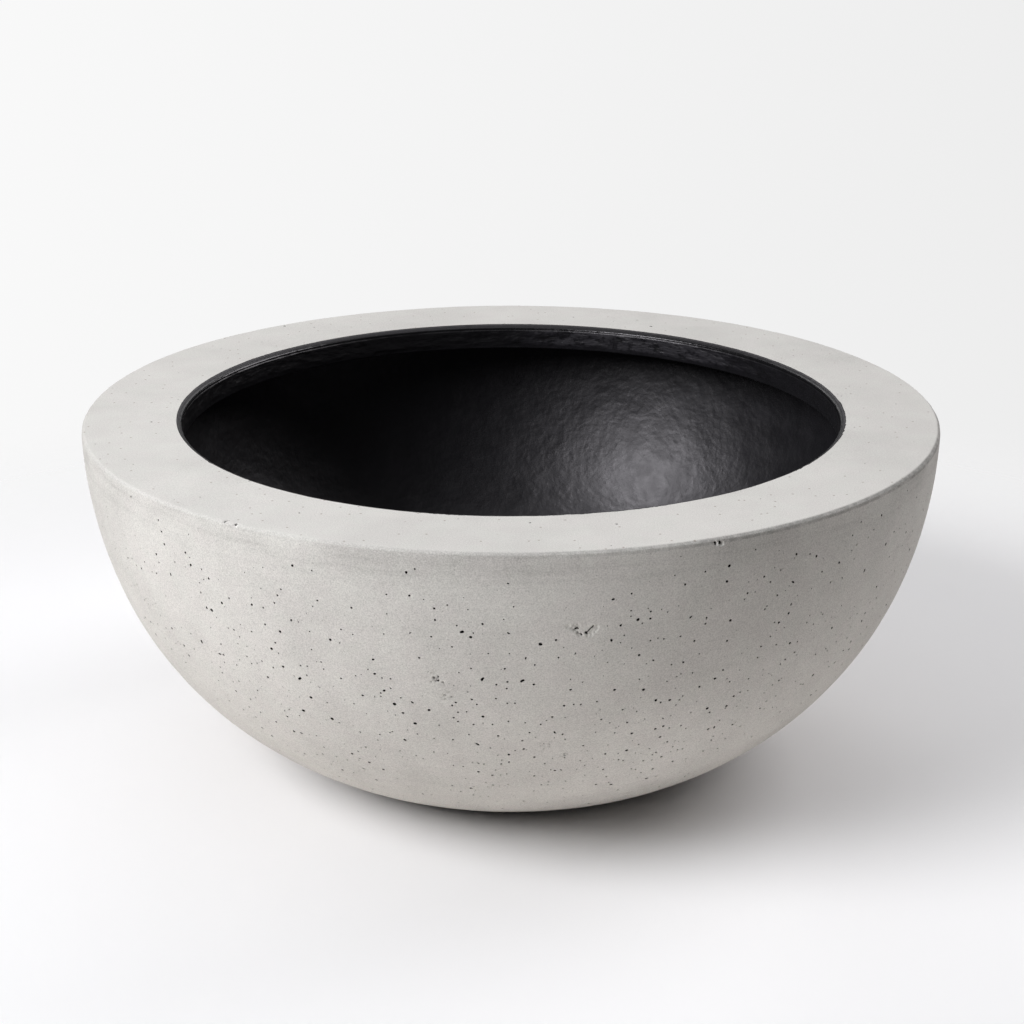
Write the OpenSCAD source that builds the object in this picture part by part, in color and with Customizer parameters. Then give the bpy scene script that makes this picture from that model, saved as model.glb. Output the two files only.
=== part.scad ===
// Low bowl planter of cast concrete. Its wall is a sphere below the rim and a tighter curve
// under that, and it turns in at the top to a wide flat rim. A black waterproof coat lines the
// hollow, a rubber plug closes the drain, and stick-on pads lift the base off the floor.
// Millimetres, Z up. z = 0 is the floor that it stands on, and the Z axis is the bowl's own axis.

/* [Bowl] */
// Outer diameter, which is widest at the rim
bowl_d = 600; // [580:10:680]
// Height from the floor to the top of the rim
bowl_h = 250; // [225:5:265]
// Diameter of the flat base
base_d = 284; // [240:4:320]
// Thickness of the concrete wall and floor
wall_t = 18; // [14:1:24]
// Angle below the rim at which the sphere passes into the lower curve
sphere_a = 20; // [14:1:26]

/* [Rim] */
// Width of the rim's flat top, from the outer edge to the edge of the mouth
rim_w = 65; // [45:5:90]
// Thickness of the rim at the mouth
rim_t = 18; // [14:1:26]
// Width of the bevel that eases the rim's outer edge
outer_bevel = 2; // [1:0.5:4]
// Width of the bevel that eases the edge of the mouth
mouth_bevel = 2.5; // [1.5:0.5:4]
// Radius of the cove between the underside of the rim and the wall
cove_r = 14; // [8:1:24]

/* [Lining] */
// Thickness of the waterproof coat
lining_t = 1.5; // [1:0.5:2]
// How far the coat stops short of the drain plug's head
lining_gap = 1.5; // [1:0.5:4]

/* [Drain] */
// Bore of the drain sleeve
drain_d = 20; // [16:1:26]
// Wall thickness of the drain sleeve
sleeve_t = 2; // [1.5:0.5:3]
// Diameter of the sleeve's flange, set flush in the floor
flange_d = 44; // [40:2:56]
// Diameter of the plug's head
plug_head_d = 31; // [30:1:34]
// Height of the grip on the plug
grip_h = 12; // [10:1:18]

/* [Pads] */
// Number of pads under the base
pad_count = 4; // [3:1:6]
// Diameter of a pad
pad_d = 36; // [24:2:44]
// Thickness of a pad
pad_t = 3; // [2:0.5:5]

/* [Hidden] */
$fn = 180;

rim_r = bowl_d / 2;
base_r = base_d / 2;
base_z = pad_t;
floor_z = base_z + wall_t;
under_rim_z = bowl_h - rim_t;
mouth_r = rim_r - rim_w - mouth_bevel;

// The lower curve leaves the sphere without a corner and ends at the edge of the base. Its
// centre therefore lies on the sphere's radius at sphere_a, and its radius follows from the base.
turn = [cos(sphere_a), -sin(sphere_a)];
base_edge = [base_r, base_z - bowl_h];
along = base_edge * turn;
lower_r = (base_edge * base_edge + rim_r * rim_r - 2 * rim_r * along) / (2 * (rim_r - along));
lower_c = (rim_r - lower_r) * turn + [0, bowl_h];

// Arcs that would only touch are drawn this much larger, so that they cross and leave no sliver
cross = 0.004;

// Centre of the cove, one cove_r below the rim's underside and one inside the wall
cove_depth = rim_t + cove_r;
cove_reach = rim_r - wall_t - cove_r;
cove_c = [sqrt(cove_reach * cove_reach - cove_depth * cove_depth), bowl_h - cove_depth];

sleeve_r = drain_d / 2 + sleeve_t;
sleeve_lift = 0.5;
sleeve_bevel = 0.8;
flange_t = 2;
anchor_h = 1.5;
anchor_out = 2.5;
anchor_gap = 5;

plug_r = plug_head_d / 2;
plug_head_t = 3.5;
plug_head_bevel = 1;
plug_lift = 2;
plug_tip = 1.5;
// The shank stands clear of the bore, and its two sealing ribs all but fill it
shank_clear = 0.9;
shank_taper = 0.6;
rib_clear = 0.1;
rib_r = 0.9;
rib_gap = 5;
grip_r = 8;
grip_bevel = 1;
waist_r = 5;
waist_depth = 2.2;

pad_margin = 14;
pad_ring_r = base_r - pad_d / 2 - pad_margin;
pad_bevel = 0.6;
first_pad_a = 45;

// Overlap where one shape must run into the next, and overhang where one must cut clear of it
lap = 1;

// Profiles are drawn in the X-Y plane and turned about the Z axis by rotate_extrude.

// A band of the profile plane, from the axis out to r, between the heights z0 and z1
module band(r, z0, z1) {
    translate([0, z0]) square([r, z1 - z0]);
}

// Everything inside the bowl's outer surface shrunk by inset, between the heights z0 and z1
module inside(inset, z0, z1) {
    turn_z = bowl_h - (rim_r - inset) * sin(sphere_a);
    intersection() {
        translate([0, bowl_h]) circle(rim_r - inset);
        band(bowl_d, turn_z, z1);
    }
    intersection() {
        translate(lower_c) circle(lower_r - inset + cross);
        band(bowl_d, z0, turn_z + cove_r);
    }
    band(lower_c[0], z0, turn_z);
}

// The planting space under the rim, with its cove, shrunk by inset
module cavity(inset) {
    // The height at which the cove leaves the wall
    cove_z = bowl_h - cove_depth * (rim_r - wall_t - inset) / cove_reach;
    inside(wall_t + inset, floor_z + inset, cove_z);
    band(cove_c[0], cove_z - lap, under_rim_z - inset);
    translate(cove_c) circle(cove_r - inset + cross);
}

// The mouth through the rim, with its bevel, shrunk by inset
module mouth(inset) {
    r = mouth_r - inset;
    bevel_top_r = mouth_r + mouth_bevel - inset * sqrt(2);
    bevel_z = bowl_h - (bevel_top_r - r);
    polygon([
        [0, under_rim_z - inset - lap],
        [r, under_rim_z - inset - lap],
        [r, bevel_z],
        [bevel_top_r, bowl_h],
        [0, bowl_h]
    ]);
}

module hollow(inset) {
    cavity(inset);
    mouth(inset);
}

// Outline of the drain sleeve with its bore filled: tube, flange and two anchor rings
module sleeve_outline() {
    band(sleeve_r, base_z + sleeve_lift, floor_z);
    band(flange_d / 2, floor_z - flange_t, floor_z);
    for (i = [1, 2]) {
        top = floor_z - flange_t - i * anchor_gap;
        band(sleeve_r + anchor_out, top - anchor_h, top);
    }
}

module concrete_bowl() {
    color("#d0cec9") rotate_extrude() difference() {
        inside(0, base_z, bowl_h);
        hollow(0);
        sleeve_outline();
        band(sleeve_r, 0, floor_z);
        polygon([
            [rim_r - outer_bevel, bowl_h],
            [rim_r + lap, bowl_h - outer_bevel - lap],
            [rim_r + lap, bowl_h + lap],
            [rim_r - outer_bevel, bowl_h + lap]
        ]);
    }
}

module waterproof_lining() {
    color("#1c1c1e") rotate_extrude() difference() {
        hollow(0);
        hollow(lining_t);
        band(plug_r + lining_gap, 0, floor_z + lining_t);
    }
}

module drain_sleeve() {
    bore_r = drain_d / 2;
    color("#5c5d5f") rotate_extrude() difference() {
        sleeve_outline();
        band(bore_r, 0, floor_z + lap);
        polygon([
            [bore_r - lap, floor_z - sleeve_bevel - lap],
            [bore_r + sleeve_bevel + lap, floor_z + lap],
            [bore_r - lap, floor_z + lap]
        ]);
    }
}

// Tapered shank with two sealing ribs
module plug_shank() {
    shank_r = drain_d / 2 - shank_clear;
    tip_z = base_z + plug_lift;
    polygon([
        [0, tip_z],
        [shank_r - shank_taper - plug_tip, tip_z],
        [shank_r - shank_taper, tip_z + plug_tip],
        [shank_r, floor_z],
        [0, floor_z]
    ]);
    for (i = [1, 2])
        translate([drain_d / 2 - rib_clear - rib_r, floor_z - i * rib_gap]) circle(rib_r);
}

// Grip with a waist for two fingers
module plug_grip(z) {
    difference() {
        polygon([
            [0, z],
            [grip_r, z],
            [grip_r, z + grip_h - grip_bevel],
            [grip_r - grip_bevel, z + grip_h],
            [0, z + grip_h]
        ]);
        translate([grip_r - waist_depth + waist_r, z + grip_h / 2 - grip_bevel / 2]) circle(waist_r);
    }
}

module drain_plug() {
    head_z = floor_z + plug_head_t;
    color("#2b2b2c") rotate_extrude() {
        plug_shank();
        polygon([
            [0, floor_z],
            [plug_r, floor_z],
            [plug_r, head_z - plug_head_bevel],
            [plug_r - plug_head_bevel, head_z],
            [0, head_z]
        ]);
        plug_grip(head_z);
    }
}

module foot_pad(i) {
    color("#3a3a3c") rotate([0, 0, first_pad_a + (i - 1) * 360 / pad_count]) translate([pad_ring_r, 0, 0]) {
        cylinder(h = pad_bevel, r1 = pad_d / 2 - pad_bevel, r2 = pad_d / 2);
        translate([0, 0, pad_bevel]) cylinder(h = pad_t - pad_bevel, r = pad_d / 2);
    }
}

concrete_bowl();
waterproof_lining();
drain_sleeve();
drain_plug();
for (i = [1 : pad_count])
    foot_pad(i);
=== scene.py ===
import math

import bpy
import numpy as np
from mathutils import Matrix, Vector


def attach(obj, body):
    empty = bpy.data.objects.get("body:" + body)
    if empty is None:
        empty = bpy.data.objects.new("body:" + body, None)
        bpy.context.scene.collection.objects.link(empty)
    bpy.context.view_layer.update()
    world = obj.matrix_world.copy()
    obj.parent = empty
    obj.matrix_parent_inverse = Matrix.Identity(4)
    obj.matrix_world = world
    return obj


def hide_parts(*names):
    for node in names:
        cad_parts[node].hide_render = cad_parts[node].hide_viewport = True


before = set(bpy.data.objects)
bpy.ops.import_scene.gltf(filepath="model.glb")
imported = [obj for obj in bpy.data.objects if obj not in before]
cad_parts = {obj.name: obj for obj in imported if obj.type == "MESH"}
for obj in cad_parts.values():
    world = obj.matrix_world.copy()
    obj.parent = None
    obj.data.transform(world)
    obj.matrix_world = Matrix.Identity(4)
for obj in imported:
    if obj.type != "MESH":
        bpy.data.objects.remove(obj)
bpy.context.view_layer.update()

MM = 0.001
SQUARE_CM = 1e-4
FULL = 2 * math.pi

# The bowl's outline, as in the CAD
RIM_Z = 250 * MM
RIM_R = 300 * MM
RIM_T = 18 * MM
WALL_T = 18 * MM
BEVEL = 2 * MM
BASE_Z = 3 * MM
BASE_R = 142 * MM
MOUTH_EDGE_R = 235 * MM
MOUTH_R = 232.5 * MM
COVE_R = 14 * MM
COAT_T = 1.5 * MM
SPHERE_A = math.radians(20)
FLOOR_Z = BASE_Z + WALL_T

# The drain, its plug and the pads
SLEEVE_R = 12 * MM
FLANGE_R = 22 * MM
FLANGE_T = 2 * MM
COAT_HOLE_R = 17 * MM
PAD_RING_R = 110 * MM
PADS = 4

# The camera that fits the photograph: its place from the middle of the rim's top, how far it looks
# down in radians, and its lens in millimetres
CAMERA_PLACE = (0.0007, -1.4666, 0.4336)
CAMERA_TILT = 0.3367
CAMERA_LENS = 75.63

# The paper's white and the white behind it, each from left to right as the camera sees it. The first
# changes over this distance to each side, the second over this much of the direction's X
PAPER_WHITE = (0.952, 1.005)
PAPER_SPAN = 0.4
BEHIND_WHITE = (0.945, 0.85)
BEHIND_SPAN = 0.24
PAPER_TINT = (0.985, 0.985, 1.005)
# Distances from the bowl's axis between which the camera sees the paper give way to what is behind
PAPER_FADE = (0.42, 0.95)
# The light that the paper throws back rises and falls with the distance from the axis, to the last share
BOUNCE_COLOUR = (0.94, 0.907, 0.88)
BOUNCE_RISE = (0.08, 0.18)
BOUNCE_FALL = (0.4, 1.35)
BOUNCE_REST = 0.2

# How many columns of cells run round each mesh
CONCRETE_COLUMNS = 360
COAT_COLUMNS = 400
HIDDEN_COLUMNS = 90


# ---------------------------------------------------------------------------------------------
# Outlines in the (radius, height) plane


def line(start, end, step=0.5 * MM):
    """Points from start to end."""
    start, end = np.array(start, float), np.array(end, float)
    steps = max(2, int(np.linalg.norm(end - start) / step) + 1)
    return start + (end - start) * np.linspace(0, 1, steps + 1)[:, None]


def arc(centre, radius, start, end, step=0.5 * MM):
    """Points of an arc. Angles are in radians, anticlockwise from the outward direction."""
    steps = max(3, int(abs(end - start) * radius / step) + 1)
    angle = np.linspace(start, end, steps + 1)
    return np.stack([centre[0] + radius * np.cos(angle), centre[1] + radius * np.sin(angle)], 1)


def lengths_along(points):
    """How far along the points each one lies."""
    return np.concatenate([[0], np.cumsum(np.hypot(*np.diff(points, axis=0).T))])


def shortened(points, cut):
    """The points without their first stretch of that length, or of nearly half if they are short."""
    along = lengths_along(points)
    cut = min(cut, along[-1] * 0.45)
    start = [np.interp(cut, along, points[:, k]) for k in (0, 1)]
    return np.vstack([start, points[along > cut + 1e-8]])


def turn_between(before, after):
    """Angle between the end of one run of points and the start of the next."""
    a, b = before[-1] - before[-2], after[1] - after[0]
    cosine = a @ b / (np.linalg.norm(a) * np.linalg.norm(b))
    return math.acos(max(-1.0, min(1.0, cosine)))


def eased(runs, ease, bend_rows):
    """The runs with a bend in place of each corner, and which of the pieces are bends. ease: length
    taken off each side of a corner. bend_rows: how many rows of the mesh lie on a bend."""
    pieces, bends = [runs[0]], set()
    for points, spacing in runs[1:]:
        before, gap = pieces[-1]
        if turn_between(before, points) < math.radians(4):
            pieces.append((points, spacing))
            continue
        bends.add(len(pieces))
        corner = before[-1]
        before = shortened(before[::-1], ease)[::-1]
        points = shortened(points, ease)
        t = np.linspace(0, 1, 13)[:, None]
        bend = (1 - t) ** 2 * before[-1] + 2 * t * (1 - t) * corner + t**2 * points[0]
        length = np.hypot(*np.diff(bend, axis=0).T).sum()
        pieces[-1] = (before, gap)
        pieces += [(bend, length / bend_rows), (points, spacing)]
    return pieces, bends


class Path:
    """An outline that runs without a break, with its corners eased and a row of the mesh at each step.

    runs: (points, spacing of the rows), end to end. left: whether the open side lies to the left of
    the way the outline runs.
    """

    # Rows this far from each side of an eased corner keep its shading off the surface beyond
    GUARDS = (0.35 * MM, 1.0 * MM, 1.9 * MM)

    def __init__(self, runs, ease, left=True, bend_rows=3):
        pieces, bends = eased(runs, ease, bend_rows)
        self.points = pieces[0][0][:1]
        self.rows, self.marks, length = [0.0], [0.0], 0.0
        for index, (points, spacing) in enumerate(pieces):
            part = np.hypot(*np.diff(points, axis=0).T).sum()
            count = max(1, round(part / spacing))
            self.rows += list(length + part * np.arange(1, count + 1) / count)
            for guard in self.GUARDS:
                if part / count > 1.5 * guard and index - 1 in bends:
                    self.rows.append(length + guard)
                if part / count > 1.5 * guard and index + 1 in bends:
                    self.rows.append(length + part - guard)
            length += part
            self.marks.append(length)
            self.points = np.vstack([self.points, points[1:]])
        self.rows = np.array(sorted(self.rows))
        self.along = lengths_along(self.points)
        self.along *= length / self.along[-1]
        self.length = length
        way = np.gradient(self.points, self.along, axis=0)
        way /= np.linalg.norm(way, axis=1)[:, None]
        side = 1 if left else -1
        self.normals = side * np.stack([-way[:, 1], way[:, 0]], 1)

    def at(self, s):
        """Radius, height and the two parts of the normal at a length along the outline."""
        return [np.interp(s, self.along, v) for v in (*self.points.T, *self.normals.T)]


def lower_arc():
    """Centre and radius of the arc that leaves the sphere without a corner and ends at the base's edge."""
    turn = np.array([math.cos(SPHERE_A), -math.sin(SPHERE_A)])
    edge = np.array([BASE_R, BASE_Z - RIM_Z])
    radius = (edge @ edge + RIM_R**2 - 2 * RIM_R * (edge @ turn)) / (2 * (RIM_R - edge @ turn))
    return (RIM_R - radius) * turn + [0, RIM_Z], radius


def wall(inset, top, bottom_z, sphere_gap, lower_gap):
    """The sphere and the lower arc, shrunk by inset, from the angle top down to the height bottom_z."""
    centre, radius = lower_arc()
    radius -= inset
    end = math.asin((bottom_z - centre[1]) / radius)
    return [
        (arc((0, RIM_Z), RIM_R - inset, top, -SPHERE_A), sphere_gap),
        (arc(centre, radius, -SPHERE_A, end), lower_gap),
    ]


def hollow(inset, gap):
    """The mouth, the rim's underside, the cove, the wall and the floor of the hollow, shrunk by inset."""
    depth = RIM_T + COVE_R
    reach = RIM_R - WALL_T - COVE_R
    cove = (math.sqrt(reach**2 - depth**2), RIM_Z - depth)
    leave = -math.asin(depth / reach)
    mouth_r = MOUTH_R - inset
    top_r = MOUTH_EDGE_R - inset * math.sqrt(2)
    under_z = RIM_Z - RIM_T - inset
    floor_z = FLOOR_Z + inset
    walls = wall(WALL_T + inset, leave, floor_z, gap, gap)
    floor_r = walls[-1][0][-1][0]
    end_r = COAT_HOLE_R if inset else FLANGE_R
    return [
        (line((top_r, RIM_Z), (mouth_r, RIM_Z - (top_r - mouth_r))), gap),
        (line((mouth_r, RIM_Z - (top_r - mouth_r)), (mouth_r, under_z)), gap),
        (line((mouth_r, under_z), (cove[0], under_z)), gap),
        (arc(cove, COVE_R - inset, math.pi / 2, leave), gap),
        *walls,
        (line((floor_r, floor_z), (end_r, floor_z)), gap),
    ]


# ---------------------------------------------------------------------------------------------
# Meshes turned about the bowl's axis


class Waves:
    """A smooth random field in space, about -2 to 2, with waves of about one length."""

    def __init__(self, seed, length):
        rng = np.random.default_rng(seed)
        count = 26
        way = rng.normal(size=(count, 3))
        way /= np.linalg.norm(way, axis=1)[:, None]
        self.k = way * FULL / (length * rng.uniform(0.7, 1.5, count))[:, None]
        self.phase = rng.uniform(0, FULL, count)

    def __call__(self, places):
        return np.sin(places @ self.k.T + self.phase).sum(1) * math.sqrt(2 / len(self.phase))


def between(outer, outer_turns, inner, inner_turns):
    """Triangles that fill the ring between two anticlockwise loops, given how far round each point lies."""
    a, b = sorted(zip(outer_turns, outer)), sorted(zip(inner_turns, inner))
    faces, i, j = [], 0, 0
    while i < len(a) or j < len(b):
        p, q = a[i % len(a)][1], b[j % len(b)][1]
        after_p, after_q = a[(i + 1) % len(a)], b[(j + 1) % len(b)]
        turn_p = after_p[0] + (i + 1) // len(a)
        turn_q = after_q[0] + (j + 1) // len(b)
        if j == len(b) or (i < len(a) and turn_p <= turn_q):
            faces.append((p, after_p[1], q))
            i += 1
        else:
            faces.append((p, after_q[1], q))
            j += 1
    return faces


class Skin:
    """A surface turned from a path. Each point keeps its azimuth u (0 faces the viewer), its length s
    along the path, its depth below the surface and its painted shade, which darkens the inside of pores
    and grooves; below zero it makes the shallow faces of dents pale."""

    def __init__(self, path, columns, outward=True, relief=None, uv=None):
        self.path, self.columns, self.outward = path, columns, outward
        self.relief, self.uv = relief, uv
        self.turns = (np.arange(columns) / columns - 0.5) * FULL
        u, s = np.meshgrid(self.turns, path.rows)
        self.u, self.s = list(u.ravel()), list(s.ravel())
        self.depth, self.dirt, self.lip = [0.0] * len(self.u), [0.0] * len(self.u), [0] * len(self.u)
        self.taken = np.zeros((len(path.rows) - 1, columns), bool)
        self.faces = []

    def point(self, u, s, depth, dirt, lip=0):
        self.u.append(u)
        self.s.append(s)
        self.depth.append(depth)
        self.dirt.append(dirt)
        self.lip.append(lip)
        return len(self.u) - 1

    def row(self, index):
        index %= len(self.path.rows)
        return list(range(index * self.columns, (index + 1) * self.columns))

    def block(self, row0, row1, column0, column1):
        """The grid's own points round a block of cells, anticlockwise from its lower left corner, with
        their azimuths left to run past half a turn."""
        places = [(row1, c) for c in range(column0, column1)]
        places += [(r, column1) for r in range(row1, row0, -1)]
        places += [(row0, c) for c in range(column1, column0, -1)]
        places += [(r, column0) for r in range(row0, row1)]
        points = [r * self.columns + c % self.columns for r, c in places]
        u = [(c / self.columns - 0.5) * FULL for r, c in places]
        return points, np.array(u), self.path.rows[[r for r, c in places]]

    def set_in(self, block, loop, u, s, uc, sc):
        """Fills the gap between the grid round a block and a new loop of points inside it."""
        radius = self.path.at(sc)[0]
        points, block_u, block_s = block

        def turns(us, ss):
            return (np.arctan2(-(ss - sc), (us - uc) * radius) / FULL) % 1

        self.faces += between(points, turns(block_u, block_s), loop, turns(u, s))

    def pore(self, row, column, x, y, radius, depth, sides, levels, shape):
        """Sinks a pore into one cell, x and y metres off its middle. levels: for each ring of points, its
        share of the radius, its share of the depth and its painted shade."""
        s0, s1 = self.path.rows[row], self.path.rows[row + 1]
        uc = ((column + 0.5) / self.columns - 0.5) * FULL
        sc = (s0 + s1) / 2
        across = self.path.at(sc)[0]
        angle = FULL * (np.arange(sides) + 0.3) / sides
        reach = radius * shape(angle)
        rings = []
        for share, sink, dirt in levels:
            u = uc + (x + reach * share * np.cos(angle)) / across
            s = sc - (y + reach * share * np.sin(angle))
            lip = len(self.u) if not rings else 0
            rings.append([self.point(*place, depth * sink, dirt, lip) for place in zip(u, s)])
            if len(rings) == 1:
                block = self.block(row, row + 1, column, column + 1)
                self.set_in(block, rings[0], u, s, uc + x / across, sc - y)
        for outer, inner in zip(rings, rings[1:]):
            for k in range(sides):
                after = (k + 1) % sides
                self.faces.append((outer[k], outer[after], inner[after], inner[k]))
        self.faces.append(tuple(rings[-1]))
        self.taken[row, column] = True

    def patch(self, u, s, width, height, step, carve):
        """Replaces the cells round (u, s) by a fine mesh, which carve(x, y) sinks. It returns depth and
        painted shade for places in metres from (u, s), x to the right and y up."""
        rows, across = self.path.rows, self.path.at(s)[0]
        row0 = int(np.searchsorted(rows, s - height / 2)) - 1
        row1 = int(np.searchsorted(rows, s + height / 2))
        place = (u / FULL + 0.5) * self.columns
        half = width / 2 / across / FULL * self.columns
        column0, column1 = math.floor(place - half), math.ceil(place + half)
        if self.taken[row0:row1, [c % self.columns for c in range(column0, column1)]].any():
            raise ValueError("two patches overlap")
        self.taken[row0:row1, [c % self.columns for c in range(column0, column1)]] = True
        edge = step * 0.8
        u0, u1 = ((c / self.columns - 0.5) * FULL for c in (column0, column1))
        fine_u = np.arange(u0 + edge / across, u1 - edge / across, step / across)
        fine_s = np.arange(rows[row0] + edge, rows[row1] - edge, step)
        us, ss = np.meshgrid(fine_u, fine_s)
        depth, dirt = carve((us - u) * across, s - ss)
        n, m = len(fine_u), len(fine_s)
        first = len(self.u)
        for place in zip(us.ravel(), ss.ravel(), depth.ravel(), dirt.ravel()):
            self.point(*place)
        grid = first + np.arange(n * m).reshape(m, n)
        for r in range(m - 1):
            for c in range(n - 1):
                self.faces.append((grid[r, c], grid[r + 1, c], grid[r + 1, c + 1], grid[r, c + 1]))
        loop = [*grid[-1, :-1], *grid[:0:-1, -1], *grid[0, :0:-1], *grid[:-1, 0]]
        loop_u, loop_s = (np.array([v[k] for k in loop]) for v in (self.u, self.s))
        block = self.block(row0, row1, column0, column1)
        self.set_in(block, loop, loop_u, loop_s, (u0 + u1) / 2, (rows[row0] + rows[row1]) / 2)

    def fill_cells(self):
        """Faces for every cell of the grid that no pore or patch has taken."""
        rows, columns = np.nonzero(~self.taken)
        after = (columns + 1) % self.columns
        top, low = rows * self.columns, (rows + 1) * self.columns
        quads = np.stack([top + columns, low + columns, low + after, top + after], 1)
        self.faces = [tuple(q) for q in quads.tolist()] + self.faces

    def places(self):
        u, s, depth = (np.array(v) for v in (self.u, self.s, self.depth))
        r, z, out, up = self.path.at(s)
        around = np.stack([np.sin(u), -np.cos(u)], 1)
        flat = np.column_stack([around * r[:, None], z])
        normal = np.column_stack([around * out[:, None], up])
        if self.relief:
            depth = depth + self.relief(flat, s)
        return flat - normal * depth[:, None]

    def map_faces(self, faces):
        """Places on the picture for each corner of each face: the front half turn below, the back above."""
        u, s = np.array(self.u), np.array(self.s)
        counts = np.array([len(f) for f in faces])
        corners = np.concatenate([np.array(f) for f in faces])
        start = np.concatenate([[0], np.cumsum(counts)[:-1]])
        first = np.repeat(u[corners[start]], counts)
        turn = u[corners]
        turn = turn - FULL * np.round((turn - first) / FULL)
        middle = np.repeat(np.add.reduceat(turn, start) / counts, counts)
        back = np.cos(middle) < 0
        turn = np.where(back, turn - math.pi, turn)
        turn = turn - FULL * np.round((middle - back * math.pi) / FULL)
        across = 0.01 + 0.98 * (0.5 + turn / math.pi)
        low, high = self.uv
        return np.stack([across, low + (high - low) * s[corners] / self.path.length + 0.5 * back], 1)


def zipped(lower, upper, shift_lower, shift_upper):
    """Triangles between the end rows of two skins, which face opposite ways."""
    skin_a, row_a = lower
    skin_b, row_b = upper
    a = [shift_lower + k for k in skin_a.row(row_a)]
    b = [shift_upper + k for k in skin_b.row(row_b)]
    return between(a, np.arange(len(a)) / len(a), b, np.arange(len(b)) / len(b))


def mesh_object(name, places, faces, material):
    mesh = bpy.data.meshes.new(name)
    mesh.from_pydata(places.tolist(), [], faces)
    mesh.materials.append(material)
    mesh.shade_smooth()
    piece = bpy.data.objects.new(name, mesh)
    bpy.context.scene.collection.objects.link(piece)
    return piece


def keep_lips_sharp(mesh, lips):
    """Marks the edge round each pore, so that the surface beside it keeps its own shading."""
    lips = np.array(lips)
    ends = np.empty(len(mesh.edges) * 2, np.int32)
    mesh.edges.foreach_get("vertices", ends)
    a, b = lips[ends[::2]], lips[ends[1::2]]
    sharp = mesh.attributes.new("sharp_edge", "BOOLEAN", "EDGE")
    sharp.data.foreach_set("value", (a == b) & (a > 0))


def solid(name, skins, material):
    """One closed mesh from two skins: the outward one first. Their end rows are joined."""
    places, faces, uvs, dirt, lips, shifts = [], [], [], [], [], []
    shift = 0
    for skin in skins:
        skin.fill_cells()
        flip = -1 if not skin.outward else 1
        places.append(skin.places())
        own = [f[::flip] for f in skin.faces]
        uvs.append(skin.map_faces(own))
        faces += [tuple(shift + k for k in f) for f in own]
        dirt += skin.dirt
        lips += [shift + k if k else 0 for k in skin.lip]
        shifts.append(shift)
        shift += len(skin.u)
    plus, minus = skins
    seams = zipped((plus, 0), (minus, 0), shifts[0], shifts[1])
    seams += [f[::-1] for f in zipped((plus, -1), (minus, -1), shifts[0], shifts[1])]
    piece = mesh_object(name, np.vstack(places), faces + seams, material)
    mesh = piece.data
    # Painted shade inside pores and grooves, and pale dent faces, for the concrete's material
    mesh.attributes.new("dirt", "FLOAT", "POINT").data.foreach_set("value", dirt)
    keep_lips_sharp(mesh, lips)
    seam_uv = np.tile([0.5, 0.497], (sum(len(f) for f in seams), 1))
    mesh.uv_layers.new(name="OFBake").data.foreach_set("uv", np.vstack([*uvs, seam_uv]).ravel())
    return piece


def turned(name, path, columns, material, centre=(0, 0), closed=False):
    """A small solid turned from an outline. It is capped at both ends unless the outline is closed."""
    skin = Skin(path, columns)
    skin.fill_cells()
    faces = skin.faces
    if closed:
        last = len(path.rows) - 1
        wrap = {skin.row(last)[k]: skin.row(0)[k] for k in range(columns)}
        faces = [tuple(wrap.get(k, k) for k in f) for f in faces]
    else:
        faces += [tuple(skin.row(0)), tuple(skin.row(-1)[::-1])]
    places = skin.places()
    if closed:
        places = places[: len(places) - columns]
    return mesh_object(name, places + [*centre, 0], faces, material)


# ---------------------------------------------------------------------------------------------
# Concrete


def dents(cuts, fray, dark_from, paleness=0.0, seed=3):
    """A carve function for Skin.patch. Each cut is (x0, y0, x1, y1, half width, depth) in millimetres: a
    groove between two places, or a dent where they are the same. fray: how ragged their edges are.
    dark_from: the depth from which painted shade shows in the grooves. paleness: how pale the dent is
    above that depth, partly a painted highlight and partly the paler colour of broken concrete."""
    ragged = Waves(seed, 1.9)

    def carve(x, y):
        x, y = x / MM, y / MM
        edge = fray * ragged(np.stack([x, y, 0 * x], -1).reshape(-1, 3)).reshape(x.shape)
        depth = np.zeros_like(x)
        for x0, y0, x1, y1, width, deep in cuts:
            dx, dy = x1 - x0, y1 - y0
            share = ((x - x0) * dx + (y - y0) * dy) / max(dx * dx + dy * dy, 1e-6)
            share = np.clip(share, 0, 1)
            away = np.hypot(x - x0 - share * dx, y - y0 - share * dy) / width + edge
            depth = np.maximum(depth, deep * np.clip(1.5 - away, 0, 1) ** 0.8)
        # Painted highlight, partly paler broken concrete, on the shallow faces; painted shade below
        # dark_from
        pale = paleness * np.clip(depth / 0.2, 0, 1) * np.clip((dark_from - depth) / 0.1, 0, 1)
        return depth * MM, np.clip((depth - dark_from) / 0.6, 0, 0.5) - pale

    return carve


def rough_spot(seed, reach, count):
    """Cuts for a patch where many small pores lie close together."""
    rng = np.random.default_rng(seed)
    cuts = []
    for _ in range(count):
        x, y = rng.normal(0, reach / 2, 2)
        long = rng.uniform(0, 0.8, 2)
        cuts.append((x, y, x + long[0], y + long[1], rng.uniform(0.22, 0.5), rng.uniform(0.15, 0.7)))
    return dents(cuts, fray=0.3, dark_from=0.35, seed=seed)


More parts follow.
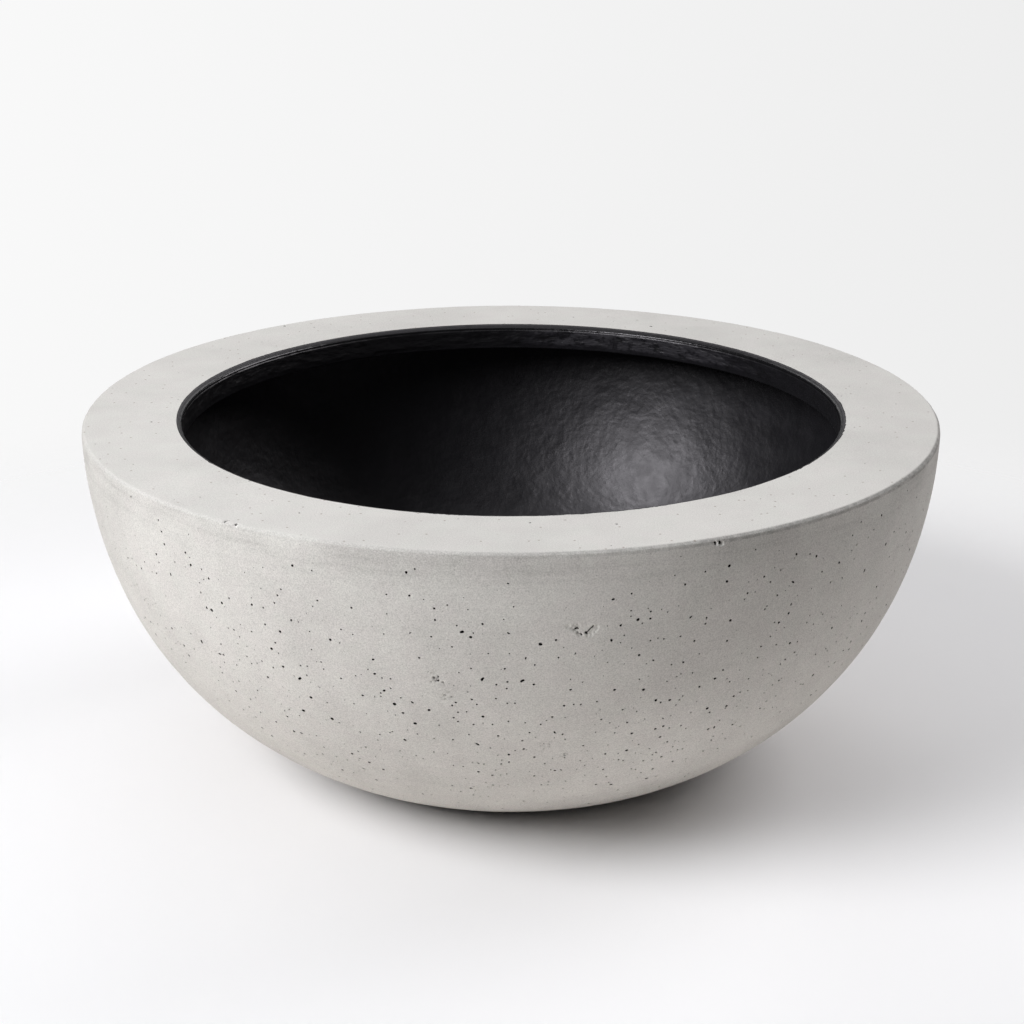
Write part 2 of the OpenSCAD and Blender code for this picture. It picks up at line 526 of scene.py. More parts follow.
# Azimuth in degrees, drop below the rim's edge, size across: pores that stand out in the photograph
NOTABLE_PORES = [
    (-3.2, 84, 2.5), (-4.6, 54, 1.9), (-0.7, 77, 1.5), (-0.4, 88, 1.6), (-0.5, 93, 1.4), (-3.5, 116, 2.0),
    (-11.5, 28, 1.6), (-0.3, 17, 1.3), (-38.8, 42, 1.7), (-37.2, 57, 2.0), (-36.0, 51, 1.4),
    (-32.3, 52, 1.8), (-30.6, 52, 1.5), (-28.1, 40, 1.6), (-29.0, 46, 1.4), (-26.9, 56, 1.7),
    (-28.7, 67, 1.9), (25.8, 18, 2.1), (25.6, 27, 1.9), (20.2, 26, 1.6), (21.3, 48, 1.7), (23.4, 51, 1.5),
    (26.8, 56, 2.0), (35.4, 39, 1.9), (35.8, 55, 1.6), (34.3, 67, 1.8), (31.6, 53, 1.5), (16.1, 46, 1.6),
    (26.9, 71, 1.6), (26.3, 100, 1.9), (-7.1, 108, 1.6), (-6.6, 113, 1.4), (-7.2, 118, 1.5),
    (-10.8, 71, 1.5), (51.3, 15, 1.7), (55.6, 32, 1.6), (46.7, 13, 1.5), (45.2, 20, 1.4), (12.8, 98, 1.8),
]
V_SCAR = dents([
    (-9.6, 2.6, -6.5, 0.2, 1.2, 0.48),
    (-6.5, 0.2, -1.7, -3.9, 0.95, 0.66),
    (-1.5, -4.1, -1.4, -4.2, 0.7, 1.2),
    (1.5, -2.8, 1.8, -3.0, 0.9, 1.15),
    (2.5, -2.2, 5.6, 1.8, 0.5, 0.85),
    (3.6, -3.6, 7.1, 0.9, 1.7, 0.55),
    (-4.7, 0.5, -3.7, 0.9, 0.75, 1.0),
    (-6.6, 2.3, -2.6, 2.5, 0.6, 0.55),
    (-5.6, 3.7, -3.4, 3.7, 0.5, 0.5),
    (-2.6, 1.6, -2.4, 1.2, 0.5, 0.5),
    (-1.0, -1.2, 1.2, -0.4, 2.4, 0.32),
], fray=0.3, dark_from=0.52, paleness=0.1)
RIGHT_CHIPS = dents([
    (-1.7, 0.3, -1.6, -0.8, 0.8, 1.2),
    (-0.6, -0.8, -0.5, -0.9, 0.8, 0.6),
    (1.4, 0.6, 1.5, -0.9, 0.75, 1.5),
    (2.5, -0.7, 2.7, -1.6, 1.0, 0.8),
], fray=0.2, dark_from=0.7, paleness=0.4)
LEFT_CHIPS = dents([
    (-5.4, 0.4, -4.2, 1.4, 0.8, 1.3),
    (-5.6, -0.5, -5.6, -0.6, 0.9, 0.8),
    (3.1, 0.0, 3.5, 0.3, 0.9, 1.3),
    (4.1, -1.0, 4.1, -1.0, 0.8, 0.5),
], fray=0.2, dark_from=0.6, paleness=0.3)
# Azimuth in degrees, place on the path from the rim's edge, width, height, fine step, what is carved
MARKS = [
    (8.4, 49.6, 22, 13, 0.42, V_SCAR),
    (24.1, 1.6, 8, 7, 0.36, RIGHT_CHIPS),
    (-34.3, -1.6, 14, 6, 0.4, LEFT_CHIPS),
    (-9.1, 86, 10, 9, 0.5, rough_spot(5, 4.6, 34)),
    (-7.9, 99, 8, 6, 0.5, rough_spot(8, 3.4, 14)),
    (4.5, 145, 12, 9, 0.5, rough_spot(6, 5.0, 30)),
    (7.4, 158, 9, 7, 0.5, rough_spot(7, 3.6, 20)),
]


def concrete_paths():
    edge_z = RIM_Z - BEVEL
    arris = -math.asin(BEVEL / RIM_R)
    sphere, lower = wall(0, arris, BASE_Z, 5.0 * MM, 5.3 * MM)
    edge_r = sphere[0][0][0]
    outside = Path(
        [
            (line((MOUTH_EDGE_R, RIM_Z), (MOUTH_EDGE_R + 0.6 * MM, RIM_Z), 0.1 * MM), 0.3 * MM),
            (line((MOUTH_EDGE_R + 0.6 * MM, RIM_Z), (RIM_R - BEVEL, RIM_Z)), 5.2 * MM),
            (line((RIM_R - BEVEL, RIM_Z), (edge_r, edge_z)), 1.2 * MM),
            sphere,
            lower,
            (line((BASE_R, BASE_Z), (SLEEVE_R, BASE_Z)), 16 * MM),
        ],
        ease=0.7 * MM,
    )
    sleeve_top = FLOOR_Z - FLANGE_T
    inside = Path(
        [
            *hollow(0, 14 * MM),
            (line((FLANGE_R, FLOOR_Z), (FLANGE_R, sleeve_top)), 3 * MM),
            (line((FLANGE_R, sleeve_top), (SLEEVE_R, sleeve_top)), 5 * MM),
            (line((SLEEVE_R, sleeve_top), (SLEEVE_R, BASE_Z)), 6 * MM),
        ],
        ease=0.1 * MM,
        left=False,
        bend_rows=1,
    )
    return outside, inside


def concrete_relief(edge_s):
    """How far the cast surface lies below its true outline."""
    swell, hollows = Waves(11, 150 * MM), Waves(12, 46 * MM)
    ripple, nicks = Waves(13, 17 * MM), Waves(14, 9 * MM)

    def relief(flat, s):
        depth = 0.11 * (1 + np.tanh(swell(flat))) + 0.05 * (1 + np.tanh(hollows(flat)))
        depth += 0.018 * (1 + np.tanh(ripple(flat)))
        at_arris = np.exp(-(((s - edge_s) / (2.2 * MM)) ** 2))
        depth += at_arris * 0.16 * np.clip(nicks(flat) - 0.3, 0, 2)
        # The mould's joint left a shallow groove just under the bevel
        groove = np.exp(-(((s - edge_s - 1.2 * MM) / (0.8 * MM)) ** 2))
        depth += groove * 0.2 * (1 + 0.5 * np.tanh(nicks(flat)))
        return depth * MM

    return relief


def pore_density(s, edge_s):
    """Pores to the square centimetre at a length along the path."""
    drop = (s - edge_s) / MM
    drops = [-60, -2, 2, 18, 26, 40, 100, 160, 240, 320]
    return np.interp(drop, drops, [0.04, 0.05, 0.07, 0.14, 0.46, 0.7, 1.02, 1.02, 0.6, 0.2])


def pore_shape(rng):
    """How the radius of a pore's rim varies round it: mostly round, now and then long or double."""
    long = abs(rng.normal(0, 0.09)) + (0.34 if rng.random() < 0.1 else 0)
    turn = rng.uniform(0, FULL)
    rough, phase = rng.uniform(0.01, 0.07), rng.uniform(0, FULL)
    return lambda angle: 1 + long * np.cos(2 * (angle - turn)) + rough * np.cos(3 * angle + phase)


def sink_pore(skin, row, column, x, y, size, rng):
    """Puts a pore of that size across into a cell, moved as far as need be to lie within it."""
    rows = skin.path.rows
    high = rows[row + 1] - rows[row]
    wide = FULL * skin.path.at((rows[row] + rows[row + 1]) / 2)[0] / skin.columns
    shape = pore_shape(rng)
    radius = min(size / 2, 0.36 * min(high, wide))
    reach = radius * shape(np.linspace(0, FULL, 24)).max() + 0.22 * MM
    room_x, room_y = max(0, wide / 2 - reach), max(0, high / 2 - reach)
    x, y = np.clip(x, -room_x, room_x), np.clip(y, -room_y, room_y)
    # Each level: share of the radius, share of the depth and painted shade inside the pore
    if radius > 0.82 * MM:
        levels, sides = [(1, 0, 0), (0.96, 0.4, 1), (0.7, 1, 1)], 9
    elif radius > 0.54 * MM:
        levels, sides = [(1, 0, 0), (0.93, 0.9, 1)], 7
    else:
        levels, sides = [(1, 0, 0), (0.92, 0.9, 1)], 6
    depth = radius * rng.uniform(1.3, 2.0)
    skin.pore(row, column, x, y, radius, depth, sides, levels, shape)


def cell_at(skin, u, s):
    """The cell that holds a place, and how far from its middle the place lies."""
    rows = skin.path.rows
    row = int(np.searchsorted(rows, s)) - 1
    place = (u / FULL + 0.5) * skin.columns
    column = math.floor(place)
    middle = (rows[row] + rows[row + 1]) / 2
    x = (place - column - 0.5) / skin.columns * FULL * skin.path.at(middle)[0]
    return row, column % skin.columns, x, middle - s


def sow_pores(skin, edge_s, seed):
    """Scatters pores over the concrete, closer together in some places than in others."""
    rng = np.random.default_rng(seed)
    clumps = Waves(22, 70 * MM)
    rows = skin.path.rows
    middles = (rows[:-1] + rows[1:]) / 2
    radii, heights = skin.path.at(middles)[:2]
    for azimuth, drop, size in NOTABLE_PORES:
        row, column, x, y = cell_at(skin, math.radians(azimuth), edge_s + drop * MM)
        if not skin.taken[row, column]:
            sink_pore(skin, row, column, x, y, size * MM, rng)
    for row, s in enumerate(middles):
        high = rows[row + 1] - rows[row]
        if high < 3 * MM or s - edge_s > 330 * MM:
            continue
        u, radius = skin.turns + 0.5 * FULL / skin.columns, radii[row]
        flat = np.column_stack([radius * np.sin(u), -radius * np.cos(u), np.full(len(u), heights[row])])
        area = high * FULL * radius / skin.columns / SQUARE_CM
        # Pores are smaller high on the wall
        typical = np.interp(s - edge_s, [30 * MM, 90 * MM], [1.02, 1.19]) * MM
        chance = pore_density(s, edge_s) * area * np.clip(1 + 0.34 * clumps(flat), 0.3, 2.0)
        for column in np.nonzero(rng.random(skin.columns) < chance)[0]:
            # Pores seldom lie straight under one another
            if skin.taken[row, column] or (skin.taken[row - 1, column] and rng.random() < 0.7):
                continue
            size = min(typical * math.exp(rng.normal(0, 0.33)), 2.6 * MM)
            spread = rng.uniform(-0.5, 0.5, 2) * 5 * MM
            sink_pore(skin, row, column, *spread, size, rng)


def build_concrete(material):
    outside, inside = concrete_paths()
    # The path's length where the bevel's outer edge meets the wall
    edge_s = outside.marks[4]
    skin = Skin(outside, CONCRETE_COLUMNS, relief=concrete_relief(edge_s), uv=(0.006, 0.455))
    for azimuth, drop, width, height, step, carve in MARKS:
        skin.patch(math.radians(azimuth), edge_s + drop * MM, width * MM, height * MM, step * MM, carve)
    sow_pores(skin, edge_s, 31)
    back = Skin(inside, HIDDEN_COLUMNS, outward=False, uv=(0.462, 0.494))
    return solid("concrete", [skin, back], material)


# ---------------------------------------------------------------------------------------------
# The coat


def coat_paths():
    runs = hollow(COAT_T, 3.6 * MM)
    film = 0.12 * MM
    # The brushed coat is rounder at the mouth than the bevel under it
    shoulder = (MOUTH_R - COAT_T, RIM_Z - 2.6 * MM)
    visible = Path(
        [
            (line((MOUTH_EDGE_R, RIM_Z - 0.5 * MM), (MOUTH_EDGE_R, RIM_Z - film)), 0.4 * MM),
            (line((MOUTH_EDGE_R, RIM_Z - film), shoulder), 0.7 * MM),
            (line(shoulder, runs[1][0][-1]), 3.6 * MM),
            *runs[2:],
            (line((COAT_HOLE_R, FLOOR_Z + COAT_T), (COAT_HOLE_R, FLOOR_Z)), 0.7 * MM),
        ],
        ease=1.1 * MM,
        left=False,
    )
    back_gap = 12 * MM
    hidden_runs = hollow(0.04 * MM, back_gap)
    hidden_runs[-1] = (line(hidden_runs[-1][0][0], (COAT_HOLE_R + 0.1 * MM, FLOOR_Z)), back_gap)
    hidden = Path(hidden_runs, ease=0.1 * MM, bend_rows=1)
    return visible, hidden


def coat_relief():
    """How far the brushed coat dips below its full thickness."""
    lumps, small, drips = Waves(41, 26 * MM), Waves(42, 11 * MM), Waves(45, 10 * MM)

    def relief(flat, s):
        inside = np.clip((s - 4 * MM) / (6 * MM), 0, 1)
        depth = inside * (0.14 * (1 + np.tanh(lumps(flat))) + 0.055 * (1 + np.tanh(small(flat))))
        on_lip = np.clip((s - 4.5 * MM) / (2 * MM), 0, 1) * np.clip((21 * MM - s) / (2 * MM), 0, 1)
        depth += on_lip * 0.1 * (1 + np.tanh(drips(flat)))
        return depth * MM

    return relief


def build_coat(material):
    visible, hidden = coat_paths()
    skin = Skin(visible, COAT_COLUMNS, outward=False, relief=coat_relief(), uv=(0.006, 0.455))
    back = Skin(hidden, HIDDEN_COLUMNS, uv=(0.462, 0.494))
    return solid("coat", [back, skin], material)


# ---------------------------------------------------------------------------------------------
# Drain and pads


def outline(corners, ease):
    """A path through corners given in millimetres."""
    corners = [(r * MM, z * MM) for r, z in corners]
    runs = [(line(a, b, 0.1 * MM), 2 * MM) for a, b in zip(corners, corners[1:])]
    return Path(runs, ease)


def build_sleeve(material):
    corners = [
        (22, 20), (22, 19), (12, 19), (12, 14), (14.5, 14), (14.5, 12.5), (12, 12.5), (12, 9), (14.5, 9),
        (14.5, 7.5), (12, 7.5), (12, 3.5), (10, 3.5), (10, 20.2), (10.8, 21), (22, 21), (22, 20),
    ]
    return turned("sleeve", outline(corners, ease=0.25 * MM), 120, material, closed=True)


def build_plug(material):
    def rib(z):
        return [(r / MM, h / MM) for r, h in arc((9 * MM, z * MM), 0.9 * MM, 1.4, -1.4, 0.2 * MM)]

    def waist():
        points = arc((10.8 * MM, 30 * MM), 5 * MM, math.pi * 0.69, math.pi * 1.31, 0.5 * MM)
        return [(r / MM, h / MM) for r, h in points]

    corners = [
        (0.3, 36.5), (7, 36.5), (8, 35.5), *waist(), (8, 24.5), (14.5, 24.5), (15.5, 23.5), (15.5, 21),
        (9.1, 21), *rib(16), *rib(11), (8.5, 6.5), (7, 5), (0.3, 5),
    ]
    return turned("plug", outline(corners, ease=0.3 * MM), 96, material)


def build_pad(index, material):
    angle = math.radians(45) + index * FULL / PADS
    centre = (PAD_RING_R * math.cos(angle), PAD_RING_R * math.sin(angle))
    corners = [(0.3, 3), (18, 3), (18, 0.6), (17.4, 0), (0.3, 0)]
    return turned(f"pad_{index + 1}", outline(corners, ease=0.25 * MM), 72, material, centre)


# ---------------------------------------------------------------------------------------------
# Materials


class Shading:
    """A material that is put together from short calls."""

    def __init__(self, name):
        self.material = bpy.data.materials.new(name)
        self.material.use_nodes = True
        self.tree = self.material.node_tree
        self.surface = self.tree.nodes["Principled BSDF"]
        self.place = self.add("TexCoord").outputs["Object"]

    def put(self, socket, value):
        if isinstance(value, bpy.types.NodeSocket):
            self.tree.links.new(value, socket)
        else:
            socket.default_value = value

    def add(self, kind, options=(), **inputs):
        node = self.tree.nodes.new("ShaderNode" + kind)
        for name, value in dict(options).items():
            setattr(node, name, value)
        for name, value in inputs.items():
            self.put(node.inputs[name.replace("_", " ")], value)
        return node

    def noise(self, length, detail=3.0, roughness=0.5, place=None):
        """Cloudy noise around 0.5, with lumps of about that length."""
        place = self.place if place is None else place
        node = self.add("TexNoise", Vector=place, Scale=1 / length, Detail=detail, Roughness=roughness)
        return node.outputs["Fac"]

    def stretched(self, x, y, z):
        """The place with each axis scaled."""
        return self.add("Mapping", Vector=self.place, Scale=(x, y, z)).outputs["Vector"]

    def axis(self, name):
        """The place along one axis."""
        return self.add("SeparateXYZ", Vector=self.place).outputs[name]

    def drop(self):
        """Millimetres below the rim's top."""
        return self.math("MULTIPLY", self.math("SUBTRACT", RIM_Z, self.axis("Z")), 1 / MM)

    def past_mouth(self):
        """Millimetres outward from the edge of the mouth."""
        flat = self.stretched(1, 1, 0)
        radius = self.add("VectorMath", {"operation": "LENGTH"}, Vector=flat).outputs["Value"]
        return self.math("MULTIPLY", self.math("SUBTRACT", radius, MOUTH_EDGE_R), 1 / MM)

    def ramp(self, value, low, high, out_low=0.0, out_high=1.0, smooth=True):
        """value taken from low..high to out_low..out_high and held there."""
        kind = {"interpolation_type": "SMOOTHSTEP" if smooth else "LINEAR"}
        span = {"From_Min": low, "From_Max": high, "To_Min": out_low, "To_Max": out_high}
        return self.add("MapRange", kind, Value=value, **span).outputs["Result"]

    def math(self, operation, a, b):
        node = self.add("Math", {"operation": operation})
        self.put(node.inputs[0], a)
        self.put(node.inputs[1], b)
        return node.outputs[0]

    def band(self, value, rise, fall, rest=0.0):
        """0 below the first pair of values, 1 between the two pairs and rest above the second."""
        return self.math("MULTIPLY", self.ramp(value, *rise), self.ramp(value, *fall, 1, rest))

    def mix(self, share, a, b, blend="MIX"):
        node = self.add("Mix", {"data_type": "RGBA", "blend_type": blend})
        for name, value in (("Factor", share), ("A", a), ("B", b)):
            if isinstance(value, tuple):
                value = (*value, 1.0)
            self.put(node.inputs[name], value)
        return node.outputs["Result"]

    def grey(self, value):
        """A number as a colour, to multiply another by."""
        return self.add("CombineColor", Red=value, Green=value, Blue=value).outputs["Color"]

    def bump(self, height, distance, strength, below=None):
        node = self.add("Bump", Height=height, Distance=distance, Strength=strength)
        if below is not None:
            self.put(node.inputs["Normal"], below)
        return node.outputs["Normal"]

    def finish(self, **inputs):
        for name, value in inputs.items():
            if isinstance(value, tuple):
                value = (*value, 1.0)
            self.put(self.surface.inputs[name.replace("_", " ")], value)
        return self.material


def spots(m, spacing, size, share, dimensions="3D"):
    """Spots of about that size, in a share of the cells of that spacing: 1 on a spot, 0 elsewhere.
    The spacing and the size are in millimetres."""
    kind = {"voronoi_dimensions": dimensions}
    node = m.add("TexVoronoi", kind, Vector=m.place, Scale=1 / (spacing * MM), Randomness=0.9)
    spot = m.ramp(node.outputs["Distance"], size / spacing * 0.3, size / spacing * 0.55, 1, 0)
    chosen = m.ramp(node.outputs["Color"], 1 - share - 0.02, 1 - share + 0.02)
    return m.math("MULTIPLY", spot, chosen)


def wall_mottling(m, drop):
    """How much lighter or darker than its mean the wall is in places."""
    clouds = m.ramp(m.noise(120 * MM, 4, 0.6), 0.3, 0.7, -0.05, 0.045)
    patches = m.ramp(m.noise(28 * MM, 4, 0.6), 0.3, 0.7, -0.035, 0.03)
    coarse = m.ramp(m.noise(2.6 * MM, 2, 0.6), 0.25, 0.75, -0.035, 0.035, smooth=False)
    # Faint streaks run round the wall, strongest just under the rim
    bands = m.ramp(m.noise(1, 3, 0.6, m.stretched(9, 9, 230)), 0.45, 0.7, 0, -1)
    streaks = m.math("MULTIPLY", bands, m.ramp(drop, 4, 35, 0.09, 0.02))
    # The wall darkens in patches just under the rim
    shaded = m.ramp(m.noise(70 * MM, 3, 0.6), 0.4, 0.62, 0, -0.1)
    shade = m.math("MULTIPLY", m.ramp(drop, 5, 28, 1, 0), shaded)
    change = clouds
    for part in (patches, coarse, streaks, shade):
        change = m.math("ADD", change, part)
    return change


def bevel_painted_shade(m, drop):
    """Painted shade on the right, the side away from the key lamp: a thin dark line in the crease under
    the rim's bevel, and darker patches on the bevel itself.
    """
    right = m.ramp(m.axis("X"), -0.08, 0.18, 0.1, 1.0)
    # Painted shade in the crease under the bevel
    crease_shade = m.ramp(m.noise(8 * MM, 3, 0.6), 0.35, 0.6, -0.12, -0.34)
    crease_shade = m.math("MULTIPLY", m.band(drop, (1.6, 2.6), (3.2, 4.4)), crease_shade)
    # Painted shade on the bevel, which faces away from the lamps on the right
    bevel_shade = m.ramp(m.noise(5 * MM, 4, 0.65), 0.35, 0.65, -0.14, -0.36)
    bevel_shade = m.math("MULTIPLY", m.band(drop, (0.1, 0.8), (1.6, 2.4)), bevel_shade)
    return m.math("MULTIPLY", m.math("ADD", crease_shade, bevel_shade), right)


def speckled(m, base, wall, drop):
    """base with pale, dark and rusty specks, and larger ones on the rim's top."""
    rim = m.ramp(drop, 0.6, 1.2, 0.7, 0)
    kinds = [
        (6, 0.9, 0.3, "3D", 0.16, (0.8, 0.79, 0.77)),
        (3.2, 0.85, 0.32, "3D", m.math("MULTIPLY", wall, 0.5), (0.16, 0.155, 0.15)),
        (19, 0.9, 0.22, "3D", m.math("MULTIPLY", wall, 0.35), (0.3, 0.17, 0.1)),
        (12, 1.6, 0.32, "2D", rim, (0.26, 0.2, 0.17)),
    ]
    for spacing, size, share, dimensions, strength, colour in kinds:
        specks = spots(m, spacing, size, share, dimensions)
        base = m.mix(m.math("MULTIPLY", specks, strength), base, colour)
    return base


def smeared(m, base, drop):
    """base with the coat's ragged edge, where the brush ran past the mouth."""
    reach = m.ramp(m.noise(45 * MM, 1), 0.5, 0.62, 0, -1.2)
    ragged = m.math("MULTIPLY", m.ramp(m.noise(3.5 * MM, 4, 0.65), 0.4, 0.8, smooth=False), reach)
    smear = m.ramp(m.math("ADD", m.past_mouth(), ragged), 0, 0.3, 1, 0)
    smear = m.math("MULTIPLY", smear, m.ramp(drop, 0.8, 1.5, 1, 0))
    return m.mix(smear, base, (0.03, 0.029, 0.031))


def dirtied(m, base):
    """base with painted shade in the pores and grooves, and pale faces on the dents, partly painted
    highlight and partly paler broken concrete, both kept with the mesh.
    """
    dirt = m.add("Attribute", {"attribute_name": "dirt"}).outputs["Fac"]
    # Pale dent faces: partly painted highlight, partly paler broken concrete
    base = m.mix(m.ramp(dirt, -0.4, 0.0, 1, 0), base, (0.88, 0.87, 0.85))
    # Painted shade inside the pores and grooves
    return m.mix(m.ramp(dirt, 0.0, 0.45), base, (0.02, 0.018, 0.017))


def concrete_material():
    m = Shading("concrete")
    drop = m.drop()
    # The rim's top was trowelled smooth: its mottling and specks are weaker
    wall = m.ramp(drop, 0.6, 3.2, 0.4, 1.0)
    tone = m.math("ADD", 1.0, m.math("MULTIPLY", wall_mottling(m, drop), wall))
    grain = m.ramp(m.noise(0.85 * MM, 1, 0.6), 0.25, 0.75, -0.18, 0.18, smooth=False)
    grain = m.math("MULTIPLY", grain, m.ramp(drop, 0.6, 1.2, 0.7, 1))
    for part in (grain, bevel_painted_shade(m, drop)):
        tone = m.math("ADD", tone, part)
    blotch = m.noise(17 * MM, 3, 0.55)
    base = m.mix(m.ramp(blotch, 0.38, 0.62), (0.675, 0.666, 0.642), (0.673, 0.656, 0.637))
    base = m.mix(1.0, base, m.grey(tone), "MULTIPLY")
    base = speckled(m, base, wall, drop)
    base = smeared(m, base, drop)
    base = dirtied(m, base)
    fine = m.bump(m.noise(0.9 * MM, 3, 0.6), 0.05 * MM, 0.8)
    normal = m.bump(m.noise(7 * MM, 4, 0.6), 0.12 * MM, 0.36, fine)
    rough = m.ramp(m.noise(22 * MM, 3), 0.3, 0.7, 0.8, 0.92)
    return m.finish(Base_Color=base, Roughness=rough, Normal=normal, Specular_IOR_Level=0.35)


def coat_colour(m, drop, lip, dust_and_sheen):
    """Near black, and paler on the lip's patches of dust and painted sheen, on its specks of dust and on
    the film's edge on the rim, partly a thin grey coat and partly a painted highlight.
    """
    tone = m.ramp(m.noise(30 * MM, 4, 0.6), 0.3, 0.7, 0.0085, 0.0115)
    base = m.mix(1.0, m.grey(tone), (0.97, 0.94, 1.14), "MULTIPLY")
    base = m.mix(m.math("MULTIPLY", lip, 0.5), base, (0.003, 0.003, 0.003))
    # Paler patches on the lip: partly dust, partly painted sheen where the lamps light it
    base = m.mix(dust_and_sheen, base, (0.017, 0.016, 0.0205))
    # The film's edge on the rim: partly a thin grey coat, partly a painted highlight
    wander = m.ramp(m.noise(5 * MM, 4, 0.65), 0.25, 0.75, -0.4, 0.4, smooth=False)
    film = m.band(m.math("ADD", m.past_mouth(), wander), (-1.4, -1.0), (-0.6, -0.2))
    film = m.math("MULTIPLY", film, m.ramp(drop, 1.2, 2.0, 1, 0))
    base = m.mix(film, base, (0.04, 0.037, 0.041))
    return m.mix(m.math("MULTIPLY", spots(m, 11, 0.8, 0.3), lip), base, (0.10, 0.10, 0.11))


def coat_roughness(m, drop, dust_and_sheen):
    """Duller on the lip's patches of dust and sheen and where the film runs out on the rim, polished on
    the shoulder.
    """
    rough = m.ramp(m.noise(12 * MM, 3), 0.3, 0.7, 0.37, 0.44)
    rough = m.math("MAXIMUM", rough, m.math("MULTIPLY", dust_and_sheen, 0.74))
    shoulder = m.band(drop, (1.4, 2.2), (3.2, 4.5))
    rough = m.math("SUBTRACT", rough, m.math("MULTIPLY", shoulder, 0.16))
    return m.math("MAXIMUM", rough, m.ramp(drop, 1.0, 2.4, 0.58, 0))


def coat_material():
    m = Shading("coat")
    drop = m.drop()
    lip = m.ramp(drop, 14, 20, 1, 0)
    lip_face = m.math("MULTIPLY", lip, m.ramp(drop, 3.6, 5.0))
    # The lip is paler in patches right of its middle, where the lamps light it: partly dust, partly
    # painted sheen
    sheen_band = m.band(m.axis("X"), (-0.01, 0.04), (0.14, 0.2), rest=0.3)
    patches = m.ramp(m.noise(9 * MM, 4, 0.7), 0.3, 0.56)
    dust_and_sheen = m.math("MULTIPLY", m.math("MULTIPLY", lip_face, sheen_band), patches)
    # Lumps left by the brush, and its strokes on the lip
    lumps = m.bump(m.noise(6 * MM, 1, 0.4), 0.34 * MM, 0.9)
    lumps = m.bump(m.noise(2.8 * MM, 2, 0.6), 0.15 * MM, 0.9, lumps)
    strokes = m.math("MULTIPLY", m.noise(1, 2, 0.5, m.stretched(75, 75, 190)), lip_face)
    normal = m.bump(strokes, 1.8 * MM, 0.9, lumps)
    colour, rough = coat_colour(m, drop, lip, dust_and_sheen), coat_roughness(m, drop, dust_and_sheen)
    return m.finish(Base_Color=colour, Roughness=rough, Normal=normal, Specular_Tint=(0.97, 0.94, 1.0))


def moulded_material(name, colour, low, high, length, depth):
    """Rubber or plastic: one colour with a slight cloud, a fine texture and its own range of roughness."""
    m = Shading(name)
    cloud = m.ramp(m.noise(14 * MM, 3, 0.6), 0.3, 0.7, 0.8, 1.2)
    base = m.mix(1.0, colour, m.grey(cloud), "MULTIPLY")
    rough = m.ramp(m.noise(4 * MM, 3), 0.3, 0.7, low, high)
    return m.finish(Base_Color=base, Roughness=rough, Normal=m.bump(m.noise(length, 3), depth, 0.7))


def floor_material():
    """White paper, open from below. What it throws back at the bowl comes from the paper around it, not
    from under it or far off. The camera sees its far parts give way to the white behind."""
    m = Shading("paper")
    away = m.add("VectorMath", {"operation": "LENGTH"}, Vector=m.place).outputs["Value"]
    near = m.band(away, BOUNCE_RISE, BOUNCE_FALL, BOUNCE_REST)
    bounce = m.mix(1.0, BOUNCE_COLOUR, m.grey(near), "MULTIPLY")
    white = m.grey(m.ramp(m.axis("X"), -PAPER_SPAN, PAPER_SPAN, *PAPER_WHITE, smooth=False))
    seen = m.mix(1.0, white, PAPER_TINT, "MULTIPLY")
    camera_ray = m.add("LightPath").outputs["Is Camera Ray"]
    m.finish(Base_Color=m.mix(camera_ray, bounce, seen), Roughness=1.0, Specular_IOR_Level=0.0)
    faded = m.math("MULTIPLY", m.ramp(away, *PAPER_FADE), camera_ray)
    open_share = m.math("MAXIMUM", faded, m.add("NewGeometry").outputs["Backfacing"])
    both = m.add("MixShader", Fac=open_share)
    m.put(both.inputs[1], m.surface.outputs["BSDF"])
    m.put(both.inputs[2], m.add("BsdfTransparent").outputs["BSDF"])
    m.put(m.tree.nodes["Material Output"].inputs["Surface"], both.outputs["Shader"])
    return m.material


def add_world(ambient):
    """White as the camera sees it, and a weak light from all round."""
    world = bpy.data.worlds.new("white")
    world.use_nodes = True
    tree = world.node_tree
    across = tree.nodes.new("ShaderNodeSeparateXYZ")
    white = tree.nodes.new("ShaderNodeMapRange")
    span = (-BEHIND_SPAN, BEHIND_SPAN, *BEHIND_WHITE)
    for name, number in zip(("From Min", "From Max", "To Min", "To Max"), span):
        white.inputs[name].default_value = number
    tree.links.new(tree.nodes.new("ShaderNodeTexCoord").outputs["Generated"], across.inputs["Vector"])
    tree.links.new(across.outputs["X"], white.inputs["Value"])
    tree.links.new(white.outputs["Result"], tree.nodes["Background"].inputs["Color"])
    strength = tree.nodes.new("ShaderNodeMath")
    strength.operation = "MAXIMUM"
    strength.inputs[1].default_value = ambient
    tree.links.new(tree.nodes.new("ShaderNodeLightPath").outputs["Is Camera Ray"], strength.inputs[0])
    tree.links.new(strength.outputs["Value"], tree.nodes["Background"].inputs["Strength"])
    bpy.context.scene.world = world


# ---------------------------------------------------------------------------------------------
# Camera, light and floor


def add_camera():
    data = bpy.data.cameras.new("camera")
    data.sensor_width = 36
    data.lens = CAMERA_LENS
    camera = bpy.data.objects.new("camera", data)
    camera.location = Vector((0, 0, RIM_Z)) + Vector(CAMERA_PLACE)
    camera.rotation_euler = (math.pi / 2 - CAMERA_TILT, 0, 0)
    bpy.context.scene.collection.objects.link(camera)
    bpy.context.scene.camera = camera


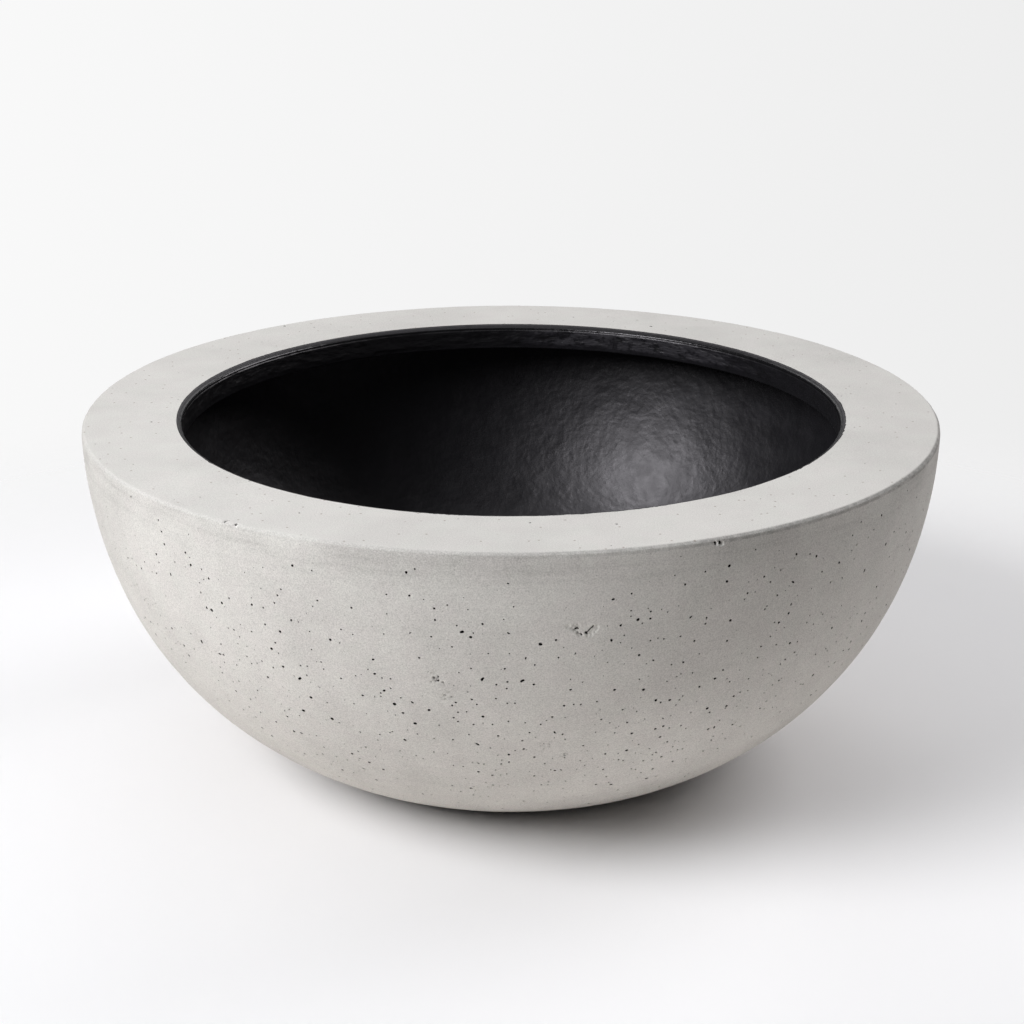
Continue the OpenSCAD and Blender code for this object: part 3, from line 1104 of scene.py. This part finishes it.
def add_lamp(name, azimuth, elevation, distance, width, watts, colour=(1, 1, 1)):
    """A round soft box that faces the middle of the bowl. Azimuth 0 is the viewer's side, 90 the right."""
    data = bpy.data.lights.new(name, "AREA")
    data.shape = "DISK"
    data.size = width
    data.energy = watts
    data.color = colour
    lamp = bpy.data.objects.new(name, data)
    a, e = math.radians(azimuth), math.radians(elevation)
    way = Vector((math.sin(a) * math.cos(e), -math.cos(a) * math.cos(e), math.sin(e)))
    lamp.location = Vector((0, 0, RIM_Z / 2)) + way * distance
    lamp.rotation_euler = way.to_track_quat("Z", "Y").to_euler()
    bpy.context.scene.collection.objects.link(lamp)


def add_ceiling(spread, strength):
    """Even light from overhead, spread over that many degrees."""
    data = bpy.data.lights.new("ceiling", "SUN")
    data.angle = math.radians(spread)
    data.energy = strength
    bpy.context.scene.collection.objects.link(bpy.data.objects.new("ceiling", data))


def add_floor():
    half = 32
    mesh = bpy.data.meshes.new("floor")
    corners = [(-half, -half, 0), (half, -half, 0), (half, half, 0), (-half, half, 0)]
    mesh.from_pydata(corners, [], [(0, 1, 2, 3)])
    mesh.materials.append(floor_material())
    floor = bpy.data.objects.new("floor", mesh)
    bpy.context.scene.collection.objects.link(floor)


def place(piece, node, body, slot):
    """piece takes the place of a CAD node and moves with its body. slot is not used."""
    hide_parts(node)
    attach(piece, body)


place(build_concrete(concrete_material()), "concrete_bowl", "bowl", "concrete")
place(build_coat(coat_material()), "waterproof_lining", "bowl", "lining")
sleeve_finish = moulded_material("sleeve", (0.10, 0.10, 0.105), 0.42, 0.55, 0.8 * MM, 0.03 * MM)
place(build_sleeve(sleeve_finish), "drain_sleeve", "bowl", "sleeve")
plug_finish = moulded_material("plug", (0.03, 0.03, 0.032), 0.55, 0.7, 0.6 * MM, 0.04 * MM)
place(build_plug(plug_finish), "drain_plug", "plug", "plug")
pad_finish = moulded_material("pad", (0.05, 0.05, 0.052), 0.8, 0.92, 0.9 * MM, 0.12 * MM)
for index in range(PADS):
    place(build_pad(index, pad_finish), f"foot_pad_{index + 1}", "bowl", "pad")

add_floor()
add_lamp("key", -62, 37, 3.0, 1.6, 40)
add_lamp("near_key", -50, 37, 2.0, 1.2, 18)
add_lamp("right_back", 120, 35, 3.0, 2.0, 38, (1, 0.985, 0.985))
add_lamp("back", 180, 35, 3.0, 2.0, 14)
add_ceiling(60, 0.49)
add_world(0.045)
add_camera()
bpy.context.scene.view_settings.view_transform = "Standard"
